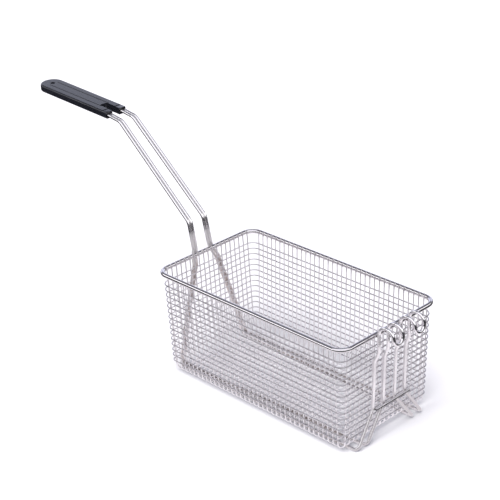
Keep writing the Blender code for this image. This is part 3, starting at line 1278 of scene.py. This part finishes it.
    def build(self, plastic: bpy.types.Material) -> None:
        """Builds the grip.

        Args:
            plastic: Its finish.
        """
        piece = self.body()
        cutters = self.cutters()
        for cutter in cutters:
            modifier = piece.modifiers.new("cut", "BOOLEAN")
            modifier.operation = "DIFFERENCE"
            modifier.solver = "EXACT"
            modifier.object = cutter
        soften = piece.modifiers.new("soften", "BEVEL")
        soften.width = self.soft_edge * MM
        soften.segments = 2
        soften.limit_method = "ANGLE"
        soften.angle_limit = self.soft_angle
        bake(piece)
        for cutter in cutters:
            bpy.data.objects.remove(cutter, do_unlink=True)
        mesh = piece.data
        put_in_order(mesh)
        mesh.materials.clear()
        mesh.materials.append(plastic)
        mesh.shade_smooth()
        mesh.set_sharp_from_angle(angle=self.sharp_angle)
        weigh = piece.modifiers.new("weigh", "WEIGHTED_NORMAL")
        weigh.weight = 95
        weigh.keep_sharp = True
        bake(piece)
        hand_over(piece, Slot.PLASTIC, "grip")


@dataclass
class SupportFrame:
    """The two hairpin frame wires with the front crossbar and their weld beads."""

    basket: Basket
    grip: Grip
    wire: float = 3.2
    section_radius: float = 1.6857
    sides: int = 20
    gap: float = 0.3
    rim_section: float = 2.53
    mesh_section: float = 0.5317
    hoop_inset: float = 1.3485
    pair_half: float = 1.75
    leg_half: float = 1.83
    strand_pair: float = 15.0
    strand_half: float = 7.0
    hook_pair: float = 14.8
    hook_half: float = 6.3
    hook_radius: float = 8.7
    hook_rise: float = 1.6
    hook_drop: float = 5.8
    hook_steps: int = 20
    jog_top: float = -16.5
    jog_low: float = -27.0
    splay_top: float = -77.6
    foot_kick: float = 3.6
    front_foot_pair: float = 39.8
    front_foot_half: float = 6.1
    rear_foot_pair: float = 44.0
    rear_mid: Pair = (-73.0, 34.5)
    rear_wall: Pair = (-10.5, 14.6)
    rear_top: Pair = (0.0, 12.5)
    rim_pass: Size = (0.8, 3.0, 10.2)
    under_rim: Pair = (-3.2, 11.9)
    low_bend: Size = (-132.6, 31.7, 9.8)
    high_bend: Pair = (-230.0, 115.3)
    socket_mouth: float = 2.0
    leg_bend: float = 12.0
    jog_bend: float = 6.0
    rim_bend: float = 3.0
    wall_bend: float = 4.0
    fan_bend: float = 40.0
    foot_bend: float = 5.0
    bend_steps: int = 12
    reach: float = 12.0
    bar_rod: float = 2.6
    bar_section: float = 1.37
    bar_length: float = 48.0
    bar_shift: float = 2.0
    bar_z: float = -77.5
    bar_reach: float = 4.0
    bar_steps: int = 6
    bead_radius: float = 1.0
    hook_bead: tuple[float, float, Size] = (2.5, -0.4, (1.5, 1.5, 0.75))
    rear_bead: tuple[float, float, Size] = (2.7, 0.8, (1.4, 1.4, 1.0))
    bar_bead: tuple[float, Size] = (1.4, (1.2, 1.2, 0.8))
    seam_size: Size = (1.1, 1.1, 0.75)
    seam_under: float = 0.62
    seam_out: float = 0.55

    @property
    def rim_clear(self) -> float:
        """Where a frame wire's centre passes just outside the rim."""
        return self.basket.half_length + self.rim_section + self.gap + self.section_radius

    @property
    def floor_z(self) -> float:
        """Height of the floor strands' centre."""
        return -self.basket.depth - self.mesh_section - self.gap - self.section_radius

    @property
    def bar_x(self) -> float:
        """Where the crossbar's centre lies."""
        return self.wall_x(self.bar_z) + self.section_radius + self.gap + self.bar_section

    def wall_x(self, z: float) -> float:
        """Where a frame wire's centre runs just outside the end wall, at height z."""
        inset = self.hoop_inset - self.mesh_section
        return self.basket.half_length - inset + self.basket.taper * z + self.gap + self.section_radius

    def strand(self, side: Side, lane: int) -> list[Corner]:
        """One strand from its end in the grip to its hook.

        Args:
            side: Near or far.
            lane: -1 or 1, which of the pair.

        Returns:
            Its corners with their bend radii.
        """
        grip = self.grip
        lean = math.tan(grip.tilt)
        inside = grip.front - grip.socket_depth + self.gap
        mouth = self.socket_mouth
        foot = self.wall_x(self.floor_z)
        toe = foot + self.foot_kick
        front = (self.strand_pair, self.strand_half)
        rim_x = self.rim_clear + self.rim_pass[0]
        stations = (
            (inside, grip.axis + (grip.front - inside) * lean, grip.pair, self.leg_half, 0),
            (grip.front + mouth, grip.axis - mouth * lean, grip.pair, self.leg_half, self.jog_bend),
            (*self.high_bend, grip.pair, self.leg_half, self.leg_bend),
            (*self.low_bend, self.leg_half, self.leg_bend),
            (-rim_x, self.rim_pass[1], self.rim_pass[2], self.pair_half, self.jog_bend),
            (-rim_x, *self.under_rim, self.pair_half, self.rim_bend),
            (-self.wall_x(self.rear_wall[0]), *self.rear_wall, self.pair_half, self.wall_bend),
            (-self.wall_x(self.rear_mid[0]), *self.rear_mid, self.pair_half, self.fan_bend),
            (-foot, self.floor_z, self.rear_foot_pair, self.pair_half, self.foot_bend),
            (toe, self.floor_z, self.front_foot_pair, self.front_foot_half, self.foot_bend),
            (self.wall_x(self.splay_top), self.splay_top, *front, self.foot_bend),
            (self.wall_x(self.jog_low), self.jog_low, *front, self.jog_bend),
            (self.rim_clear, self.jog_top, self.hook_pair, self.hook_half, self.jog_bend),
        )
        return [((x, side.value * (pair + lane * half), z), bend) for x, z, pair, half, bend in stations]

    def hook(self, side: Side) -> list[Vector]:
        """The closed front end of a frame wire: over the hook, round the U and back.

        Args:
            side: Near or far.

        Returns:
            Its points.
        """
        angles = [math.pi * step / self.hook_steps for step in range(self.hook_steps + 1)]
        pair = side.value * self.hook_pair
        half = side.value * self.hook_half
        start, radius = self.rim_clear, self.hook_radius
        front = start + 2 * radius
        over = [(start + radius * (1 - math.cos(a)), self.hook_rise + radius * math.sin(a)) for a in angles]
        middle = [
            Vector((front, pair + half * math.cos(a), self.hook_rise - self.hook_drop * math.sin(a)))
            for a in angles[1:-1]
        ]
        outward, homeward = ([Vector((x, pair + lane * half, z)) for x, z in over] for lane in (1, -1))
        return outward + middle + homeward[::-1]

    def path(self, side: Side) -> list[Vector]:
        """The whole frame wire, from one end in the grip to the other."""
        outward, homeward = (rounded(self.strand(side, lane), self.bend_steps) for lane in (1, -1))
        return outward + self.hook(side) + homeward[::-1]

    def beads(self) -> list[Nugget]:
        """Weld beads between frame wires and what they touch.

        Returns:
            The beads.
        """
        end = self.basket.half_length
        hook_out, hook_z, hook_size = self.hook_bead
        rear_out, rear_shift, rear_size = self.rear_bead
        bar_in, bar_size = self.bar_bead
        spots = (
            (end + hook_out, self.hook_pair, self.hook_half, hook_z, hook_size),
            (-end - rear_out, self.rim_pass[2] + rear_shift, self.pair_half, 0.0, rear_size),
            (self.bar_x - bar_in, self.strand_pair, self.strand_half, self.bar_z, bar_size),
        )
        return [
            Nugget(Vector((x, side.value * (pair + lane * half), z)), FORWARD, size)
            for side in Side for lane in (-1, 1) for x, pair, half, z, size in spots
        ]

    def seams(self) -> list[Nugget]:
        """Small welds where the strands cross the mesh.

        Returns:
            The welds.
        """
        b = self.basket
        foot = self.wall_x(self.floor_z)
        size = self.seam_size
        made = []
        for side in Side:
            for lane in (-1, 1):
                rear_y = side.value * (self.rear_foot_pair + lane * self.pair_half)
                front_y = side.value * (self.front_foot_pair + lane * self.front_foot_half)
                for x in b.crosses:
                    y = rear_y + (front_y - rear_y) * (x + foot) / (2 * foot + self.foot_kick)
                    made.append(Nugget(Vector((x, y, -b.depth - self.seam_under)), UPWARD, size))
                for drop in b.drops:
                    x = b.half_length - b.upright_inset + b.layer - b.taper * drop + self.seam_out
                    if self.splay_top < -drop < self.jog_low:
                        y = side.value * (self.strand_pair + lane * self.strand_half)
                        made.append(Nugget(Vector((x, y, -drop)), FORWARD, size))
                    made.append(Nugget(Vector((-x, self.rear_y(-drop, side, lane), -drop)), FORWARD, size))
        return made

    def rear_y(self, z: float, side: Side, lane: int) -> float:
        """Where a strand crosses the rear wall.

        Args:
            z: The height.
            side: Near or far.
            lane: -1 or 1, which of the pair.

        Returns:
            Its place along y.
        """
        stations = (self.rear_top, self.rear_wall, self.rear_mid, (self.floor_z, self.rear_foot_pair))
        pair = self.rear_foot_pair
        for (z0, y0), (z1, y1) in zip(stations, stations[1:]):
            if z1 <= z <= z0:
                pair = y0 + (y1 - y0) * (z0 - z) / (z0 - z1)
                break
        return side.value * (pair + lane * self.pair_half)

    def build(self, steel: bpy.types.Material, bright: bpy.types.Material, weld: bpy.types.Material) -> None:
        """Builds both frame wires, the crossbar and the welds.

        Args:
            steel: Finish of the frame wires and of the welds on the mesh.
            bright: Finish of the crossbar.
            weld: Finish of the beads.
        """
        for side in Side:
            label = side.name.lower()
            paths = PathSet()
            paths.add(spaced(self.path(side), self.reach))
            piece = rods(f"support_wire_{label}", paths, self.wire, self.sides, steel)
            hand_over(piece, Slot.STEEL, f"frame_wire_{label}")
        ends = [
            Vector((self.bar_x, self.bar_shift + sign * self.bar_length / 2, self.bar_z)) for sign in (-1, 1)
        ]
        paths = PathSet()
        paths.add_domed(spaced(ends, self.bar_reach), self.bar_rod / 2, self.bar_steps)
        hand_over(rods("crossbar", paths, self.bar_rod, self.sides, bright), Slot.STEEL, "front_crossbar")
        for name, spots, detail, finish in (
            ("frame_beads", self.beads(), 3, weld), ("frame_welds", self.seams(), 2, steel),
        ):
            hand_over(nuggets(name, spots, self.bead_radius, detail, finish), Slot.STEEL)


# Studio


@dataclass(frozen=True)
class Studio:
    """White paper floor, soft overhead key, and what the bright metal sees of the room.

    The metal mirrors a pale table top that ends a little way off, a softbox at either side,
    a dim ceiling and horizon, and a pale window behind. The paper and the lamp stay out of
    its reflections, so that the wires keep the dark edges that a dim studio gives them.
    The pairs are where a patch of the room fades in or out, by the direction's height, or how
    far it points to the camera's right (side) or towards the camera (front).
    """

    azimuth: float = math.radians(46.29)
    elevation: float = math.radians(25.77)
    roll: float = math.radians(-2.52)
    eye: Size = (0.9827, -0.8880, 0.7531)
    lens: float = 105.31
    half_pixel: float = 0.001
    key_from: Size = (0.18, -0.52, 0.84)
    key_strength: float = 3.9
    key_angle: float = math.radians(56)
    key_color: Color = (1.0, 0.985, 0.96)
    fill: Color = (0.345, 0.34, 0.43)
    dim: Color = (0.06, 0.058, 0.066)
    ceiling: Color = (0.17, 0.165, 0.19)
    ceiling_height: Pair = (0.42, 0.62)
    window: Color = (1.02, 1.06, 1.28)
    window_front: Pair = (-0.76, -0.64)
    window_height: Pair = (0.42, 0.54)
    front_glow: Color = (1.25, 1.24, 1.28)
    glow_front: Pair = (0.05, 0.40)
    glow_height: Pair = (0.16, 0.32)
    left_box: Color = (2.4, 2.4, 2.45)
    right_box: Color = (2.0, 2.0, 2.05)
    box_side: Pair = (0.74, 0.84)
    box_bottom: Pair = (0.26, 0.34)
    box_top: Pair = (0.52, 0.60)
    overhead: Color = (1.1, 1.1, 1.2)
    overhead_height: Pair = (0.80, 0.88)
    overhead_front: Pair = (-0.25, 0.0)
    floor_reach: float = 14.0
    floor_drop: float = 0.0002
    table_drop: float = 0.0001
    table_reach: float = 6.0
    table_middle: Size = (0.11, 0.0, 0.0)
    table_side: Pair = (-0.27, 0.24)
    table_depth: Pair = (-1.50, 0.27)
    table_soft: float = 0.02
    table_glow: Color = (1.0, 0.965, 1.01)
    table_horizon: Pair = (0.01, 0.03)
    table_beyond: Color = (0.04, 0.038, 0.044)

    def axes(self) -> tuple[Vector, Vector, Vector]:
        """The camera's own axes.

        Returns:
            Its right, up and backward directions.
        """
        back = Vector((
            math.sin(self.azimuth) * math.cos(self.elevation),
            -math.cos(self.azimuth) * math.cos(self.elevation),
            math.sin(self.elevation),
        ))
        right = Vector((math.cos(self.azimuth), math.sin(self.azimuth), 0.0))
        up = back.cross(right)
        turned = right * math.cos(self.roll) + up * math.sin(self.roll)
        lifted = up * math.cos(self.roll) - right * math.sin(self.roll)
        return turned, lifted, back

    @property
    def level_axes(self) -> tuple[Vector, Vector]:
        """Level directions to the camera's right and towards the camera."""
        right, _, back = self.axes()
        return Vector((right.x, right.y, 0)).normalized(), Vector((back.x, back.y, 0)).normalized()

    def camera(self) -> None:
        """Puts the camera where the photograph was taken from."""
        made = bpy.data.cameras.new("camera")
        made.sensor_width = 36.0
        made.lens = self.lens
        made.shift_x = -self.half_pixel
        made.shift_y = self.half_pixel
        made.clip_start = 0.05
        made.clip_end = 50.0
        holder = linked("camera", made)
        turn = Matrix([list(axis) for axis in self.axes()]).transposed().to_4x4()
        holder.matrix_world = Matrix.Translation(self.eye) @ turn
        bpy.context.scene.camera = holder

    def sheet(self, name: str, reach: float, drop: float, finish: bpy.types.Material) -> bpy.types.Object:
        """A flat square under the basket.

        Args:
            name: Its name.
            reach: Half its side, in metres.
            drop: How far it lies below the basket, in metres.
            finish: Its material.

        Returns:
            The object.
        """
        mesh = bpy.data.meshes.new(name)
        level = CAD_BOX[0][2] - drop
        plan = ((-1, -1), (1, -1), (1, 1), (-1, 1))
        mesh.from_pydata([(x * reach, y * reach, level) for x, y in plan], [], [(0, 1, 2, 3)])
        mesh.materials.append(finish)
        made = linked(name, mesh)
        return made

    def table(self) -> None:
        """Dark floor beyond the table's edges, seen by glossy rays alone."""
        made, tree, _ = new_material("beyond_table")
        where = tree.node("ShaderNodeTexCoord")["Object"]
        offset = tree.vectors("SUBTRACT", where, self.table_middle)["Vector"]
        inside = None
        for axis, (low, high) in zip(self.level_axes, (self.table_side, self.table_depth)):
            along = tree.vectors("DOT_PRODUCT", offset, tuple(axis))["Value"]
            soft = self.table_soft
            part = along.between(low - soft, low + soft) * (1 - along.between(high - soft, high + soft))
            inside = part if inside is None else inside * part
        nodes = made.node_tree.nodes
        nodes.remove(nodes["Principled BSDF"])
        dark = tree.node("ShaderNodeEmission", None, (*self.table_beyond, 1.0))["Emission"]
        clear = tree.node("ShaderNodeBsdfTransparent")["BSDF"]
        both = tree.node("ShaderNodeMixShader", None, inside, dark, clear)["Shader"]
        tree.feed(nodes["Material Output"].inputs["Surface"], both)
        card = self.sheet("table_card", self.table_reach, self.table_drop, made)
        card.visible_camera = False
        card.visible_diffuse = False
        card.visible_shadow = False

    def key(self) -> None:
        """Adds the one soft lamp."""
        lamp = bpy.data.lights.new("key", "SUN")
        lamp.energy = self.key_strength
        lamp.angle = self.key_angle
        lamp.color = self.key_color
        holder = linked("key", lamp)
        holder.rotation_euler = Vector(self.key_from).to_track_quat("Z", "Y").to_euler()
        holder.visible_glossy = False

    def room(self, tree: Tree) -> Value:
        """Paints the room that the metal mirrors, by direction.

        Args:
            tree: The world's tree.

        Returns:
            Its colour.
        """
        ray = tree.node("ShaderNodeTexCoord")["Generated"]
        height = tree.node("ShaderNodeSeparateXYZ", None, ray)["Z"]
        side, front = (tree.vectors("DOT_PRODUCT", ray, tuple(axis))["Value"] for axis in self.level_axes)
        band = height.between(*self.box_bottom) * (1 - height.between(*self.box_top))
        behind = 1 - front.between(*self.window_front)
        color = tree.mix(height.between(*self.ceiling_height), self.dim, self.ceiling)
        color = tree.mix(behind * (1 - height.between(*self.window_height)), color, self.window)
        for share, shown in (
            (front.between(*self.glow_front) * height.between(*self.glow_height), self.front_glow),
            (band * (-1 * side).between(*self.box_side), self.left_box),
            (band * side.between(*self.box_side), self.right_box),
            (height.between(*self.overhead_height) * front.between(*self.overhead_front), self.overhead),
            ((-1 * height).between(*self.table_horizon), self.table_glow),
        ):
            color = tree.mix(share, color, shown)
        return color

    def world(self) -> None:
        """Sets what each kind of ray finds around: the room, the fill light or plain white."""
        made = bpy.data.worlds.new("surround")
        made.use_nodes = True
        bpy.context.scene.world = made
        tree = Tree(made.node_tree)
        nodes = made.node_tree.nodes
        tree.feed(nodes["Background"].inputs["Color"], self.room(tree))
        mirrored = Value(tree, nodes["Background"].outputs["Background"])
        soft = tree.node("ShaderNodeBackground", None, (*self.fill, 1.0), 1.0)["Background"]
        pale = tree.node("ShaderNodeBackground", None, (1.0, 1.0, 1.0, 1.0), 1.0)["Background"]
        path = tree.node("ShaderNodeLightPath")
        direct = path["Is Glossy Ray"] * (1 - path["Diffuse Depth"].math("MINIMUM", 1.0))
        lit = tree.node("ShaderNodeMixShader", None, direct, soft, mirrored)["Shader"]
        both = tree.node("ShaderNodeMixShader", None, path["Is Camera Ray"], lit, pale)["Shader"]
        tree.feed(nodes["World Output"].inputs["Surface"], both)
        made.cycles.sampling_method = "NONE"

    def build(self) -> None:
        """Sets up the floor, the lights and the camera."""
        floor = self.sheet("floor", self.floor_reach, self.floor_drop, PaperFloor().material())
        floor.visible_glossy = False
        self.table()
        self.key()
        self.world()
        self.camera()
        bpy.context.scene.view_settings.view_transform = "Standard"


def main() -> None:
    """Builds the pieces in order."""
    logging.basicConfig(level=logging.INFO, format="%(message)s")
    basket, grip = Basket(), Grip()
    mesh_finishes = (U_WIRE_PLATING, HOOP_PLATING_PAINTED_SHADE, RIM_PLATING, RIM_WELD_PLATING)
    basket.build(*(finish.material() for finish in mesh_finishes))
    frame_finishes = (FRAME_PLATING, BAR_PLATING, FRAME_WELD_PLATING)
    SupportFrame(basket, grip).build(*(finish.material() for finish in frame_finishes))
    grip.build(MouldedPlastic().material())
    Studio().build()


if __name__ == "__main__":
    main()
